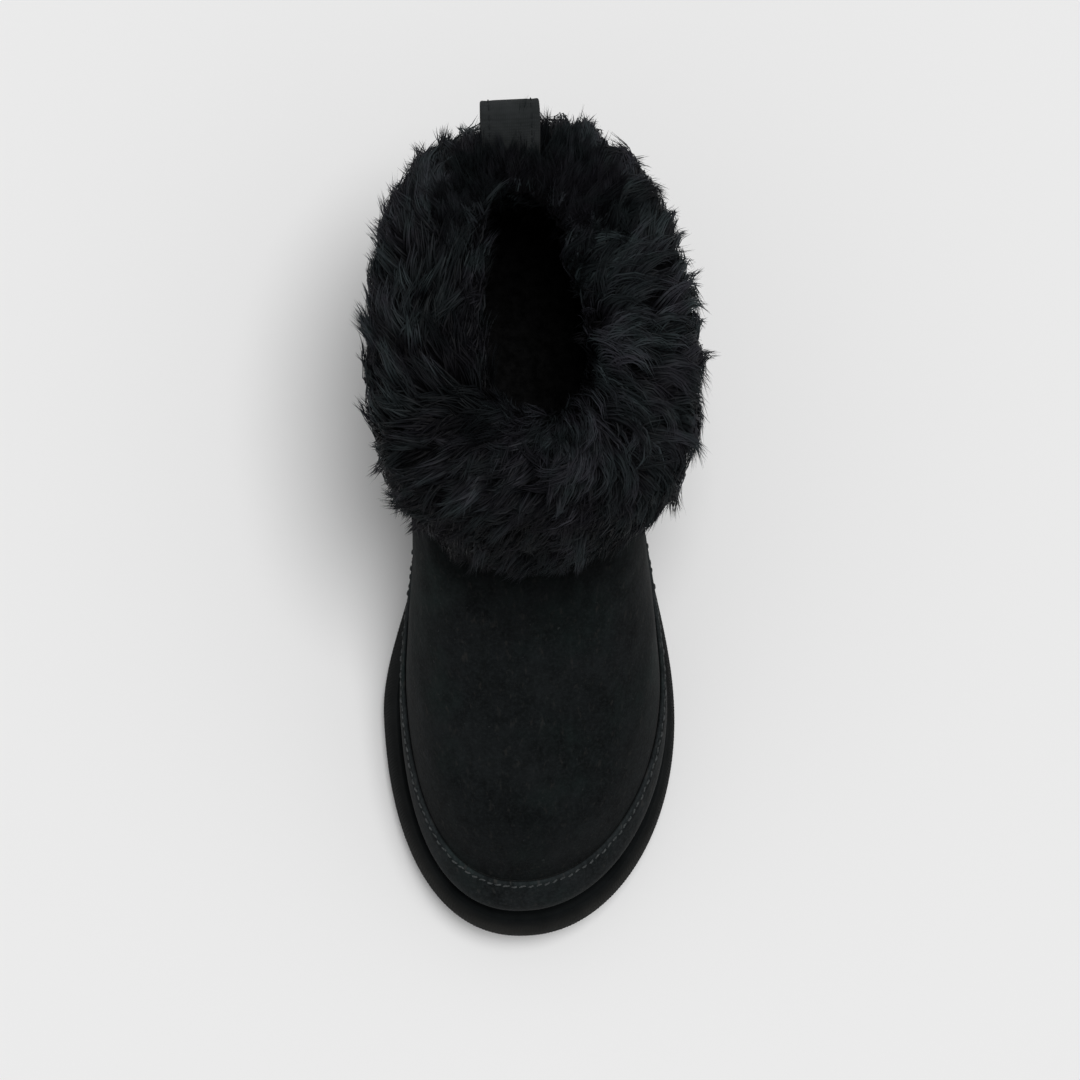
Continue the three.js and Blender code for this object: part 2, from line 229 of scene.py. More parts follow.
def off_level(angles, t, out, up=0.0):
    """The same, moved level."""
    normals = upper_normals(angles, t)
    normals[:, 2] = 0
    points = upper_ring(angles, t) + unit(normals) * np.reshape(out, (-1, 1))
    points[:, 2] += up
    return points


def turn_of(count):
    return np.arange(count) * TURN / count


def run_lengths(points):
    """Distance along an open line of points, at each of them."""
    return np.concatenate([[0], np.cumsum(np.linalg.norm(np.diff(points, axis=0), axis=1))])


def arc_lengths(points):
    """Distance round a closed ring of points, at each of them and back at the first."""
    steps = np.linalg.norm(np.roll(points, -1, 0) - points, axis=1)
    return np.concatenate([[0], np.cumsum(steps)])


def at_lengths(values, arc, places):
    """Rows of values, known at distances arc along a line, read at other distances."""
    return np.stack([np.interp(places, arc, column) for column in values.T], -1)


# Where the part's own origin, the middle of the sole, lies in the row frame.
SOLE_LOW, SOLE_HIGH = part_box("sole")
ORIGIN_X = SOLE_HIGH.x / MM - outline(SOLE_OUTLINE, turn_of(64))[0].max()
ORIGIN_Y = SOLE_LOW.y / MM - SOLE_FRONT


# ---- meshes
def add_object(name, data):
    made = bpy.data.objects.new(name, data)
    bpy.context.scene.collection.objects.link(made)
    return made


def make_mesh(name, points, faces, body="root"):
    """A smooth mesh from millimetres in the part's frame, riding on the boot."""
    co = np.asarray(points, float).reshape(-1, 3) * MM
    co[:, 0] += ORIGIN_X * MM
    co[:, 1] += ORIGIN_Y * MM
    faces = np.asarray(faces, np.int32)
    mesh = bpy.data.meshes.new(name)
    mesh.vertices.add(len(co))
    mesh.vertices.foreach_set("co", co.ravel())
    corners = faces.shape[1]
    mesh.loops.add(faces.size)
    mesh.loops.foreach_set("vertex_index", faces.ravel())
    mesh.polygons.add(len(faces))
    mesh.polygons.foreach_set("loop_start", np.arange(0, faces.size, corners, dtype=np.int32))
    mesh.polygons.foreach_set("loop_total", np.full(len(faces), corners, np.int32))
    mesh.polygons.foreach_set("use_smooth", np.ones(len(faces), bool))
    mesh.update(calc_edges=True)
    mesh.validate()
    made = add_object(name, mesh)
    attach(made, body)
    return made


def mark_points(thing, name, values):
    """A number at every point of a mesh, for its material."""
    layer = thing.data.attributes.new(name, "FLOAT", "POINT")
    layer.data.foreach_set("value", np.ravel(values).astype(np.float32))


def grid_quads(rows, columns, wrap_rows=False):
    """Quads of a grid whose columns close into rings, and whose rows may close too."""
    j = np.arange(rows if wrap_rows else rows - 1)[:, None]
    i = np.arange(columns)[None, :]
    up, beside = (j + 1) % rows, (i + 1) % columns
    corners = [j * columns + i, j * columns + beside, up * columns + beside, up * columns + i]
    return np.stack(corners, -1).reshape(-1, 4)


def cross_strips(start, columns, faces_down):
    """Quads that close a ring of points by strips from side to side."""
    i = np.arange(1, columns // 2 - 1)
    quads = start + np.stack([i, i + 1, columns - i - 1, columns - i], -1)
    return quads[:, ::-1] if faces_down else quads


def grid_normals(grid):
    """Outward normals of a (rows, columns, 3) grid whose columns close into rings."""
    along = np.roll(grid, -1, 1) - np.roll(grid, 1, 1)
    up = np.gradient(grid, axis=0)
    return unit(np.cross(along, up))


def make_threads(name, paths, radii, sides, across, material):
    """A closed tapering tube along each path: paths (n, k, 3), radii (k)."""
    n, k, _ = paths.shape
    tangent = unit(np.gradient(paths, axis=1))
    u = unit(np.cross(tangent, np.broadcast_to(across, tangent.shape)))
    v = np.cross(tangent, u)
    turn = turn_of(sides)
    ring = u[:, :, None] * np.cos(turn)[:, None] + v[:, :, None] * np.sin(turn)[:, None]
    points = paths[:, :, None] + ring * radii[:, None, None]
    faces = grid_quads(k, sides)[None] + (np.arange(n) * k * sides)[:, None, None]
    finish_piece(make_mesh(name, points, faces.reshape(-1, 4)), material, "thread")


# ---- materials
class Shader:
    """A material's nodes, by short names."""

    def __init__(self, name, roughness, **values):
        self.material = bpy.data.materials.new(name)
        self.material.use_nodes = True
        self.tree = self.material.node_tree
        self.surface = self.tree.nodes["Principled BSDF"]
        self.surface.inputs["Roughness"].default_value = roughness
        for key, value in values.items():
            self.surface.inputs[key.replace("_", " ")].default_value = value
        self.place = self.node("ShaderNodeTexCoord").outputs["Object"]

    def node(self, kind, **settings):
        made = self.tree.nodes.new(kind)
        for key, value in settings.items():
            if key in made.inputs:
                made.inputs[key].default_value = value
            else:
                setattr(made, key, value)
        return made

    def link(self, output, target):
        self.tree.links.new(output, target)

    def noise(self, scale, detail=2.0, rough=0.5, stretch=None):
        made = self.node("ShaderNodeTexNoise", Scale=scale, Detail=detail, Roughness=rough)
        place = self.place
        if stretch:
            mapping = self.node("ShaderNodeMapping", Scale=stretch)
            self.link(place, mapping.inputs["Vector"])
            place = mapping.outputs["Vector"]
        self.link(place, made.inputs["Vector"])
        return made.outputs["Fac"]

    def ramp(self, value, low, high, out_low=0.0, out_high=1.0):
        ends = {"From Min": low, "From Max": high, "To Min": out_low, "To Max": out_high}
        made = self.node("ShaderNodeMapRange", clamp=True, **ends)
        self.link(value, made.inputs["Value"])
        return made.outputs["Result"]

    def feed(self, socket, value):
        """Links a node's output to a socket, or sets a number or a colour on it."""
        if isinstance(value, bpy.types.NodeSocket):
            self.link(value, socket)
        elif isinstance(value, (int, float)):
            socket.default_value = value
        else:
            socket.default_value = (*value, 1)

    def blend(self, factor, colour_a, colour_b):
        made = self.node("ShaderNodeMix", data_type="RGBA")
        self.feed(made.inputs[0], factor)
        self.feed(made.inputs[6], colour_a)
        self.feed(made.inputs[7], colour_b)
        return made.outputs[2]

    def calculate(self, operation, a, b):
        made = self.node("ShaderNodeMath", operation=operation)
        self.feed(made.inputs[0], a)
        self.feed(made.inputs[1], b)
        return made.outputs[0]

    def multiply(self, a, b):
        return self.calculate("MULTIPLY", a, b)

    def add(self, a, b):
        return self.calculate("ADD", a, b)

    def attribute(self, name):
        return self.node("ShaderNodeAttribute", attribute_name=name).outputs["Fac"]

    def colour(self, output):
        self.link(output, self.surface.inputs["Base Color"])

    def bump(self, height, strength, distance):
        made = self.node("ShaderNodeBump", Strength=strength, Distance=distance)
        self.link(height, made.inputs["Height"])
        self.link(made.outputs["Normal"], self.surface.inputs["Normal"])


def suede_material(name, tone=1.0):
    """Brushed suede: cloudy nap, fine fibres and a few pale flecks. The mesh's own "tone"
    scales it towards black: on the upper, painted shade down the toe and painted shadow under
    the fur's hem; on the band, darker towards the sole and paler along the top edge, partly
    wear and partly painted highlight."""
    s = Shader(name, 0.95, Sheen_Weight=0.03, Sheen_Roughness=0.5, Specular_IOR_Level=0.03)
    dark, pale, green, brushed, fibre = (
        [c * tone for c in colour]
        for colour in (
            (0.0026, 0.0031, 0.0033), (0.0088, 0.0104, 0.0110), (0.0072, 0.0112, 0.0108),
            (0.0185, 0.0180, 0.0170), (0.014, 0.0165, 0.0175),
        )
    )
    clouds = s.add(s.multiply(s.noise(52, 5, 0.7, (1.0, 0.6, 1.0)), 0.55),
                   s.multiply(s.noise(210, 4, 0.7, (1.0, 0.7, 1.0)), 0.45))
    fibres = s.noise(900, 3, 0.7)
    pale = s.blend(s.ramp(s.noise(38, 2, 0.5), 0.5, 0.68), pale, green)
    base = s.blend(s.ramp(clouds, 0.36, 0.64), dark, pale)
    nap, flecks = s.noise(560, 2, 0.6, (1.0, 0.3, 1.0)), s.noise(430, 2, 0.8)
    layers = [(nap, 0.60, 0.72, 0.55, brushed), (fibres, 0.45, 0.75, 0.5, fibre),
              (flecks, 0.70, 0.76, 0.5, (0.045, 0.050, 0.051))]
    for value, low, high, most, colour in layers:
        base = s.blend(s.ramp(value, low, high, 0.0, most), base, colour)
    s.colour(s.blend(s.attribute("tone"), (0.0, 0.0, 0.0), base))
    s.bump(s.add(fibres, s.multiply(s.noise(230, 2, 0.5), 0.7)), 0.5, 0.0004)
    return s.material


def fur_material(name, root, tip, gloss=0.55):
    """Fur fibres: painted shade darkens them at the root and deep in the fur; softer and paler at
    the tip, each lock its own tone with painted light and shade round the collar.
    """
    s = Shader(name, gloss, Specular_IOR_Level=0.07)
    patch = s.ramp(s.noise(75, 3, 0.6), 0.40, 0.62)
    cool = [tip[0] * 0.91, tip[1] * 1.04, tip[2] * 0.98]
    warm = [tip[0] * 1.09, tip[1] * 0.94, tip[2] * 1.02]
    s.colour(s.blend(s.attribute("shade"), root, s.blend(patch, cool, warm)))
    return s.material


def sole_material():
    """Dull rubber, a little clouded; a mark on the mesh makes its low edge paler, most at the toe.
    """
    s = Shader("sole_rubber", 0.8, Specular_IOR_Level=0.04)
    cloudy = s.noise(60, 4, 0.6)
    rubber = s.blend(s.ramp(cloudy, 0.35, 0.68), (0.0031, 0.0039, 0.0042), (0.0072, 0.0084, 0.0088))
    pale_low_edge = s.multiply(s.attribute("pale_low_edge"), s.ramp(cloudy, 0.35, 0.65, 0.6, 1.0))
    s.colour(s.blend(pale_low_edge, rubber, (0.0202, 0.0200, 0.0186)))
    s.bump(s.noise(1900, 2, 0.6), 0.35, 0.00012)
    return s.material


def cloth_material(name, low, high, scale):
    """Rough pile between two tones."""
    s = Shader(name, 0.95, Specular_IOR_Level=0.03)
    pile = s.noise(scale, 3, 0.65)
    s.colour(s.blend(s.ramp(pile, 0.35, 0.7), low, high))
    s.bump(pile, 0.8, 0.0012)
    return s.material


def tape_material():
    """Woven tape: ribs across and along, half a millimetre apart."""
    s = Shader("tape", 0.85, Sheen_Weight=0.03, Sheen_Roughness=0.4, Specular_IOR_Level=0.06)
    ribs = []
    for axis, scale in (("X", 560), ("Z", 420)):
        wave = s.node("ShaderNodeTexWave", wave_type="BANDS", bands_direction=axis, Scale=scale)
        s.link(s.place, wave.inputs["Vector"])
        ribs.append(wave.outputs["Fac"])
    weave = s.multiply(ribs[0], ribs[1])
    cloudy = s.noise(150, 3, 0.6)
    base = s.blend(s.ramp(cloudy, 0.35, 0.7), (0.0180, 0.0202, 0.0207), (0.0265, 0.0290, 0.0300))
    s.colour(s.blend(s.multiply(weave, 0.5), base, (0.034, 0.038, 0.040)))
    s.bump(weave, 0.45, 0.0002)
    return s.material


def finish_piece(piece, material, slot, *nodes):
    piece.data.materials.append(material)
    if nodes:
        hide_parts(*nodes)


# ---- camera, floor and light
CAMERA_AT = Vector((-62.7, 14.7, 1500.0))      # from the middle of the sole, over the arch
CAMERA_AIM = Vector((5.0, 4.0, 60.0))
CAMERA_ROLL = math.radians(3.0)                # the boot is toed out by this much
SHOWN_HEIGHT = 362.0                           # what the picture takes in at the aim
FLOOR_HALF = 14.0                              # metres
FLOOR_GREY = 0.865
SKY_STRENGTH = 0.38
SUN_STRENGTH = 1.90
SUN_SPREAD = math.radians(26)
SUN_WAY = Vector((-0.11, -0.17, -1.0))


def row_frame(point):
    return Vector((point.x + ORIGIN_X, point.y + ORIGIN_Y, point.z)) * MM


def make_camera():
    data = bpy.data.cameras.new("camera")
    camera = add_object("camera", data)
    at, aim = row_frame(CAMERA_AT), row_frame(CAMERA_AIM)
    back = (at - aim).normalized()
    up = Vector((math.sin(CAMERA_ROLL), math.cos(CAMERA_ROLL), 0))
    right = up.cross(back).normalized()
    turned = Matrix((right, back.cross(right), back)).transposed()
    camera.matrix_world = Matrix.Translation(at) @ turned.to_4x4()
    data.sensor_width = 36
    data.lens = 36 * (at - aim).length / (SHOWN_HEIGHT * MM)
    data.clip_end = 50
    bpy.context.scene.camera = camera


def make_stage():
    mesh = bpy.data.meshes.new("floor")
    corners = [(x * FLOOR_HALF, y * FLOOR_HALF, 0) for x, y in ((-1, -1), (1, -1), (1, 1), (-1, 1))]
    mesh.from_pydata(corners, [], [(0, 1, 2, 3)])
    floor = add_object("floor", mesh)
    s = Shader("floor_paper", 0.9, Specular_IOR_Level=0.0)
    s.surface.inputs["Base Color"].default_value = (*[FLOOR_GREY] * 3, 1)
    mesh.materials.append(s.material)


def make_lights():
    world = bpy.data.worlds.new("studio")
    world.use_nodes = True
    sky = world.node_tree.nodes["Background"].inputs
    sky["Color"].default_value = (1, 1, 1, 1)
    sky["Strength"].default_value = SKY_STRENGTH
    bpy.context.scene.world = world
    data = bpy.data.lights.new("key", "SUN")
    data.energy = SUN_STRENGTH
    data.angle = SUN_SPREAD
    add_object("key", data).rotation_euler = SUN_WAY.to_track_quat("-Z", "Y").to_euler()
    bpy.context.scene.view_settings.view_transform = "Standard"
    bpy.context.scene.view_settings.look = "None"


make_camera()
make_stage()
make_lights()

SUEDE = suede_material("suede", 1.36)
SUEDE_BAND = suede_material("suede_band", 3.0)
SOLE = sole_material()
FLEECE = cloth_material("fleece", (0.0024, 0.0024, 0.0025), (0.0085, 0.0085, 0.0087), 330)
TAPE = tape_material()
THREAD = cloth_material("thread", (0.036, 0.040, 0.041), (0.082, 0.087, 0.088), 900)
TAB_THREAD = cloth_material("tab_thread", (0.016, 0.018, 0.019), (0.028, 0.031, 0.032), 900)
SKIN = cloth_material("fur_skin", (0.001, 0.001, 0.0012), (0.003, 0.003, 0.0035), 500)
FUR = fur_material("fur", (0.0012, 0.0010, 0.0015), (0.0262, 0.0304, 0.0346))
# a darker copy of the fur: painted shade inside the collar
FUR_SHADED_INSIDE = fur_material("fur_inside_shaded", (0.0008, 0.0007, 0.0010), (0.0130, 0.0142, 0.0160), 0.6)

# ---- upper
UPPER_POINTS = 256           # round the upper and the insole
UPPER_TONE = 0.8
# painted shade down the sloping toe
TOE_PAINTED_SHADE = 0.26
HEM_PAINTED_SHADOW = 0.62        # painted shadow under the fur's hem
# Soft folds, placed one by one: the side they are on (0 over the top), the two ends (y along
# the boot; x from its middle over the top, z up on a side), bow, half width and depth.
FOLDS = [
    [0, -30, -34, -22, 30, 5, 7.0, 1.1], [0, -46, -30, -40, 26, 6, 6.0, 0.7],
    [0, -13, -26, -12, 28, -3, 6.0, 0.9],
    [1, 18, 92, 70, 62, -6, 6.0, 1.3], [1, 70, 96, 118, 84, 5, 6.0, 1.2],
    [1, 86, 80, 120, 70, 3, 5.0, 0.8],
    [-1, 14, 90, 64, 60, -6, 6.5, 1.4], [-1, 66, 95, 116, 82, 5, 6.0, 1.1],
    [-1, 84, 78, 120, 69, 3, 5.0, 0.8],
]


def fold_depth(points, normals):
    """How far the suede sinks in at each point; a low ridge swells beside each fold."""
    total = np.zeros(points.shape[:-1])
    for side, y0, c0, y1, c1, bow, half, depth in FOLDS:
        across = points[..., 2] if side else points[..., 0]
        start = np.array([y0, c0], float)
        run = np.array([y1, c1], float) - start
        place = np.stack([points[..., 1], across], -1) - start
        f = place @ run / (run @ run)
        aside = (place[..., 1] * run[0] - place[..., 0] * run[1]) / np.linalg.norm(run)
        aside = aside - bow * 4 * f * (1 - f)
        ends = smooth(f / 0.35) * smooth((1 - f) / 0.35)
        r = aside / half
        shape = np.exp(-r * r) - 0.35 * np.exp(-((np.abs(r) - 1.7) ** 2) / 0.7)
        facing = normals[..., 0] * side if side else normals[..., 2]
        total += depth * shape * ends * smooth(facing / 0.5)
    return total


def make_upper():
    angles = turn_of(UPPER_POINTS)
    rows = np.linspace(0, 1, 84)
    outside = np.stack([upper_ring(angles, t) for t in rows])
    normals = grid_normals(outside)
    shown = smooth((rows - GUARD_TOP) / 0.12)[:, None] * smooth((1.0 - rows) / 0.1)[:, None]
    slack = 0.35 * wave_noise(outside, 62, 3) + 0.12 * wave_noise(outside, 21, 4)
    push = shown * (slack - fold_depth(outside, normals))
    outside = outside + normals * push[..., None]
    lining = np.linspace(1, 0, 22)
    inside = [(off_level if t in (0, 1) else off_upper)(angles, t, -WALL) for t in lining]
    inside[-1][:, 2] = sole_top_at(inside[-1][:, 1]) + GAP
    grid = np.concatenate([outside, np.stack(inside)])
    upper = make_mesh("upper_suede", grid, grid_quads(len(grid), len(angles), True))
    # Painted shade down the sloping toe and painted shadow under the fur's hem, put into the
    # suede's tone.
    toe = smooth((-70 - grid[..., 1]) / 45)
    hem_shadow = np.concatenate([smooth((rows - 0.62) / 0.1), 0 * lining])[:, None]
    tone = UPPER_TONE * (1 - TOE_PAINTED_SHADE * toe) * (1 - HEM_PAINTED_SHADOW * hem_shadow)
    mark_points(upper, "tone", tone)
    upper.data.materials.append(FLEECE)
    inner_faces = np.arange(len(upper.data.polygons)) >= len(rows) * len(angles)
    finish_piece(upper, SUEDE, "suede", "upper")
    upper.data.polygons.foreach_set("material_index", np.where(inner_faces, 0, 1))


# ---- mudguard and its stitches
GUARD_STITCH = 0.945        # height of the stitch row on the band, from 0 to 1
STITCH_LENGTH = 1.75
STITCH_STEP = 2.8
STITCH_THICK = 0.68


def guard_ring(angles, w, out):
    ring = off_upper(angles, max(w, 0.0) * GUARD_TOP, out)
    if w <= 0.02:
        ring = off_level(angles, max(w, 0.0) * GUARD_TOP, out)
        ring[:, 2] = sole_top_at(ring[:, 1]) + 0.1 + w
    return ring


def guard_out(w, arc):
    """How far the band stands off the upper: rounded edges, a sunken stitch row with small
    gathers, and bitten notches along the foot."""
    full = GAP + GUARD_THICK
    top = smooth((1.0 - w) / 0.05)
    row = np.exp(-(((w - GUARD_STITCH) / 0.035) ** 2))
    pull = 0.5 + 0.5 * np.cos(TURN * arc / STITCH_STEP)
    puff = 0.18 * np.exp(-(((w - 0.95) / 0.06) ** 2)) + 0.35 * np.exp(-(((w - 0.6) / 0.3) ** 2))
    foot = smooth(1 - w / 0.2) * (0.30 + 0.15 * np.cos(TURN * arc / 3.1))
    return mix(0.45 * full, full, top) + puff - row * (0.45 + 0.12 * pull) - foot


def make_mudguard():
    angles = turn_of(560)
    arc = arc_lengths(upper_ring(angles, GUARD_TOP * GUARD_STITCH))[:-1]
    ws = np.concatenate([np.linspace(0, 0.7, 10), np.linspace(0.74, 0.98, 13), [0.993, 1.0]])
    rings = [guard_ring(angles, w, guard_out(w, arc)) for w in ws]
    rings += [guard_ring(angles, w, np.full(len(angles), 0.02)) for w in (1.004, 0.5, 0.0)]
    grid = np.stack(rings)
    guard = make_mesh("mudguard_band", grid, grid_quads(len(grid), len(angles), True))
    # Darker towards the sole; paler along the top edge, partly wear and partly painted highlight.
    wear_and_highlight = mix(0.22, 0.52, smooth((ws - 0.1) / 0.45)) + 0.3 * smooth((ws - 0.945) / 0.03)
    wear_and_highlight = np.concatenate([wear_and_highlight, [0, 0, 0]])[:, None]
    mark_points(guard, "tone", wear_and_highlight * np.ones(len(angles)))
    finish_piece(guard, SUEDE_BAND, "suede_band", "mudguard")


def resample_ring(points, positions):
    """Points at given distances round a closed ring."""
    arc = arc_lengths(points)
    closed = np.vstack([points, points[:1]])
    return at_lengths(closed, arc, np.mod(positions, arc[-1]))


def make_stitches():
    angles = turn_of(1400)
    ring_arc = arc_lengths(upper_ring(angles, GUARD_TOP * GUARD_STITCH))[:-1]
    rail = guard_ring(angles, GUARD_STITCH, guard_out(GUARD_STITCH, ring_arc * 0 + STITCH_STEP / 2))
    above = guard_ring(angles, GUARD_STITCH + 0.06, np.full(len(angles), GAP + GUARD_THICK))
    out = upper_normals(angles, GUARD_TOP * GUARD_STITCH)
    total = arc_lengths(rail)[-1]
    count = int(total / STITCH_STEP)
    centres = (np.arange(count) + 0.5) * total / count
    f = np.linspace(-1, 1, 9)
    places = centres[:, None] + f * STITCH_LENGTH / 2
    rail_at, up_at, out_at = (resample_ring(ring, places) for ring in (rail, above, out))
    slant = rng.normal(0.34, 0.10, (count, 1, 1)) * f[None, :, None]
    rise = 0.34 * (1 - np.abs(f) ** 3) - 0.16 + 0.12 * rng.random((count, 1))
    path = rail_at + unit(up_at - rail_at) * slant + unit(out_at) * rise[..., None]
    radii = STITCH_THICK / 2 * np.sqrt(np.maximum(1 - np.abs(f) ** 4, 0.02))
    make_threads("band_stitches", path, radii, 8, (0, 0, 1), THREAD)


# ---- sole
# Edge of the sole: k from its widest outline to the upper's foot, height above the
# underside (low) or below the top (high), and how deep the fine ribs are there.
EDGE_ROWS = [
    (0.10, 2.9, 0, 0.0), (0.03, 4.4, 0, 0.4), (0.0, 6.6, 0, 1.0), (0.012, 9.0, 0, 1.0),
    (0.05, 0, -13.0, 1.0), (0.13, 0, -9.6, 1.0), (0.25, 0, -6.4, 1.0), (0.36, 0, -4.3, 0.9),
    (0.46, 0, -2.6, 0.3), (0.54, 0, -1.3, 0.0), (0.63, 0, -0.9, 0.0), (0.72, 0, -1.1, 0.0),
    (0.80, 0, -1.6, 0.0), (0.90, 0, -1.5, 0.0), (1.0, 0, -0.4, 0.0), (1.15, 0, 0, 0.0),
]
EDGE_CURVED = 10             # rows from the lowest on that a smooth curve joins
RIB_STEP = 1.15
RIB_DEPTH = 0.26
RIB_SLANT = 0.75
RIB_COLUMNS = 2320           # points round the sole, enough to carry the ribs
GROOVE_FLOOR = TREAD_DEPTH - 0.25
# Edge of the tread: k as above and the height over the underside.
TREAD_EDGE = [(0.5, 3.4), (0.10, 3.3), (0.12, 2.4), (0.2, 1.2), (0.3, 0.35), (0.42, 0.0)]
TREAD_ROWS = 330
TREAD_START = 0.0004         # the angle of its first row, past the toe's tip
HAIR = 1e-6                  # keeps a height of 0 measured from the underside


def sole_ring(angles, k, low, high):
    wide, narrow = outline(SOLE_OUTLINE, angles), outline(FOOT, angles)
    x, y = mix(wide[0], narrow[0], k), mix(wide[1], narrow[1], k)
    z = underside_at(y) + low if low else sole_top_at(y) + high
    return np.stack([x, y, z], -1)


def even_angles(count):
    """Angles that step evenly round the sole's widest outline, mirrored left and right."""
    fine = np.linspace(0, math.pi, 3000)
    made = []
    for side in (1, -1):
        x, y, _ = outline(SOLE_OUTLINE, fine * side)
        arc = run_lengths(np.stack([x, y], -1))
        made.append(np.interp(np.linspace(0, arc[-1], count // 2 + 1), arc, fine))
    half = (made[0] + made[1]) / 2
    return np.concatenate([half[:-1], TURN - half[:0:-1]])


def spline_rows(rows, steps):
    """Rings between the given rings, on smooth curves: rows (n, columns, 3 or more)."""
    n = len(rows)
    made = []
    for i in range(n - 1):
        a, b, c, d = rows[max(i - 1, 0)], rows[i], rows[i + 1], rows[min(i + 2, n - 1)]
        for f in np.arange(steps) / steps:
            made.append(0.5 * (2 * b + (c - a) * f + (2 * a - 5 * b + 4 * c - d) * f**2
                               + (3 * b - a - 3 * c + d) * f**3))
    made.append(rows[-1])
    return np.stack(made)


def make_sole():
    angles = even_angles(RIB_COLUMNS)
    rows = []
    for k, low, high, rib in EDGE_ROWS:
        ring = sole_ring(angles, k, low, high)
        marks = np.broadcast_to([rib, k], (len(angles), 2))
        rows.append(np.concatenate([ring, marks], -1))
    curved, plain = np.stack(rows[:EDGE_CURVED]), np.stack(rows[EDGE_CURVED:])
    grid = np.concatenate([spline_rows(curved, 2), plain])
    ribs, levels = np.clip(grid[..., 3], 0, 1), grid[:, 0, 4]
    grid = grid[..., :3]
    arc = arc_lengths(grid[4])
    total = arc[-1]
    phase = arc[:-1] + RIB_SLANT * (grid[..., 2] - underside_at(grid[..., 1]))
    count = round(total / RIB_STEP)
    height = np.cos(TURN * phase * count / total)
    grid = grid + grid_normals(grid) * (RIB_DEPTH / 2 * ribs * height)[..., None]
    rows_n, columns = grid.shape[:2]
    quads = [grid_quads(rows_n, columns), cross_strips(0, columns, True),
             cross_strips((rows_n - 1) * columns, columns, False)]
    sole = make_mesh("sole_body", grid, np.concatenate(quads))
    # The low edge made paler, most towards the toe.
    low = (smooth((0.52 - levels) / 0.36) * smooth(np.arange(rows_n) / 3))[:, None]
    mark_points(sole, "pale_low_edge", low * mix(0.12, 1.0, smooth((-70 - grid[..., 1]) / 50)))
    finish_piece(sole, SOLE, "sole", "sole")


def groove_cut(x, y):
    """1 inside a groove of the tread and 0 on a lug, with short sloping walls."""
    lift = GROOVE_WAVE * np.cos(GROOVE_WAVES * math.pi * x / GROOVE_REACH)
    cut = np.zeros_like(x)
    for middle in GROOVES:
        inside = GROOVE_WIDTH / 2 - np.abs(y - middle - lift)
        cut = np.maximum(cut, smooth(inside / 0.9 + 0.5))
    return cut


def make_tread():
    """The lug layer: a grid across the foot with a round edge, cut by the grooves."""
    half = np.linspace(TREAD_START, math.pi - TREAD_START, TREAD_ROWS)
    left, right = ([sole_ring(half * side, k, z + HAIR, 0) for k, z in TREAD_EDGE]
                   for side in (-1, 1))
    middle = [mix(left[-1], right[-1], f) for f in np.linspace(0, 1, 34)[1:-1]]
    grid = np.stack(left + middle + right[::-1], 1)
    x, y = grid[..., 0], grid[..., 1]
    floor = underside_at(y) + GROOVE_FLOOR * groove_cut(x, y)
    grid[..., 2] = np.maximum(grid[..., 2], floor)
    ends = grid.copy()[[0, -1]]
    ends[..., 2] = underside_at(ends[..., 1]) + TREAD_EDGE[0][1]
    grid = np.concatenate([ends[:1], grid, ends[1:]])
    rows, columns = grid.shape[:2]
    quads = grid_quads(rows, columns)
    tread = make_mesh("sole_tread", grid, quads[:, ::-1])
    finish_piece(tread, SOLE, "sole")


# ---- insole
def make_insole():
    """Fleece footbed: a soft crown with a curly pile."""
    angles = turn_of(UPPER_POINTS)
    steps = [(0.9, 0.4), (0.6, 2.0), (0.6, 4.0), (1.2, 5.2), (2.6, 5.9)]
    rings = []
    for inset, up in steps:
        ring = off_level(angles, 0, -WALL - inset)
        ring[:, 2] = sole_top_at(ring[:, 1]) + up
        rings.append(ring)
    edge = rings[-1]
    spine = (edge + np.roll(edge[::-1], 1, 0)) / 2
    for f in np.linspace(0.08, 1, 16):
        ring = mix(edge, spine, f)
        ring[:, 2] = sole_top_at(ring[:, 1]) + INSOLE_THICK
        rings.append(ring)
    grid = np.stack(rings)
    pile = 0.5 * wave_noise(grid, 9, 8) + 0.45 * wave_noise(grid, 4.5, 9)
    pile[:2] = 0
    grid[..., 2] += pile * 0.8
    quads = grid_quads(len(grid), len(angles))
    bottom = cross_strips(0, len(angles), True)
    insole = make_mesh("insole_fleece", grid, np.concatenate([quads, bottom]))
    finish_piece(insole, FLEECE, "fleece", "insole")


# ---- pull tab
TAB_EDGE = 0.7               # how round its edges are
TAB_SEAM = 2.6               # from each edge to its stitches
TAB_STITCH_STEP = 2.9
TAB_STITCH_LENGTH = 2.1
TAB_STITCH_THICK = 0.48


def tab_path(count):
    """Middle line of the folded tape in side view (y, z), up the front layer and down the
    back one."""
    rim = upper_ring(np.array([math.pi]), 1)[0]
    line = np.array(TAB_LINE) + rim[1:]
    ways = unit(np.gradient(line, axis=0))
    across = np.stack([-ways[:, 1], ways[:, 0]], -1)
    half = np.array(TAB_HALF_LOOP)[:, None] - TAB_THICK / 2
    front, back = line + across * half, line - across * half
    tip = line[-1] + ways[-1] * (TAB_TIP - TAB_THICK / 2)
    knots = np.vstack([front, tip, back[::-1]])
    steps = spline_rows(knots[:, None, :], 8)[:, 0]
    arc = run_lengths(steps)
    return at_lengths(steps, arc, np.linspace(0, arc[-1], count))


